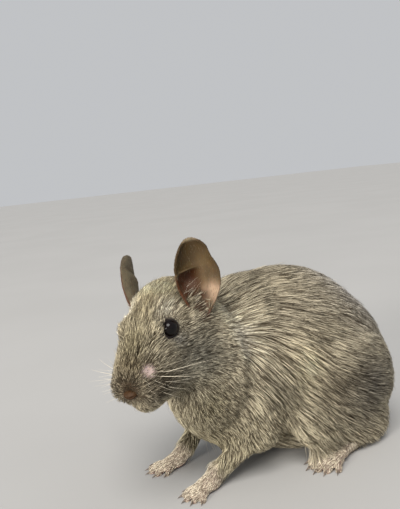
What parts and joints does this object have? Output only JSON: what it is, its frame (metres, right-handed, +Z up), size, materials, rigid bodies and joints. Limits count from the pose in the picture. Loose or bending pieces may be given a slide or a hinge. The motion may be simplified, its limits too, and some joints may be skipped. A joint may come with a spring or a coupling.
{
  "type": "degu",
  "caption": "Crouched degu at rest on its feet, head turned a little to its left, large thin ears, long agouti coat, tufted tail laid round its side.",
  "frame": {"origin": "on the floor, under the middle of the model's box", "axes": "+Z up, -Y the way the trunk points, +X the animal's left"},
  "size_m": [0.0956, 0.1482, 0.0925],
  "materials": {
    "agouti_coat": "long straight agouti fur, grey-brown with pale bands",
    "foot_fur": "short pale grey fur over pinkish grey skin",
    "ear_skin": "thin, almost bare, matt",
    "tail_brush": "long near-black hair",
    "eye_gloss": "wet and glossy",
    "nose_skin": "bare, fine-grained, slightly moist"
  },
  "bodies": {
    "root": {"head": "agouti_coat", "neck": "agouti_coat", "trunk": "agouti_coat", "tail": "agouti_coat", "tail_brush": "tail_brush", "hind_leg_left": "agouti_coat", "hind_leg_right": "agouti_coat", "fore_leg_left": "agouti_coat", "fore_leg_right": "agouti_coat", "fore_paw_left": "foot_fur", "fore_paw_right": "foot_fur", "hind_foot_left": "foot_fur", "hind_foot_right": "foot_fur", "ear_left": "ear_skin", "ear_right": "ear_skin", "eye_left": "eye_gloss", "eye_right": "eye_gloss", "nose": "nose_skin"}
  },
  "joints": []
}
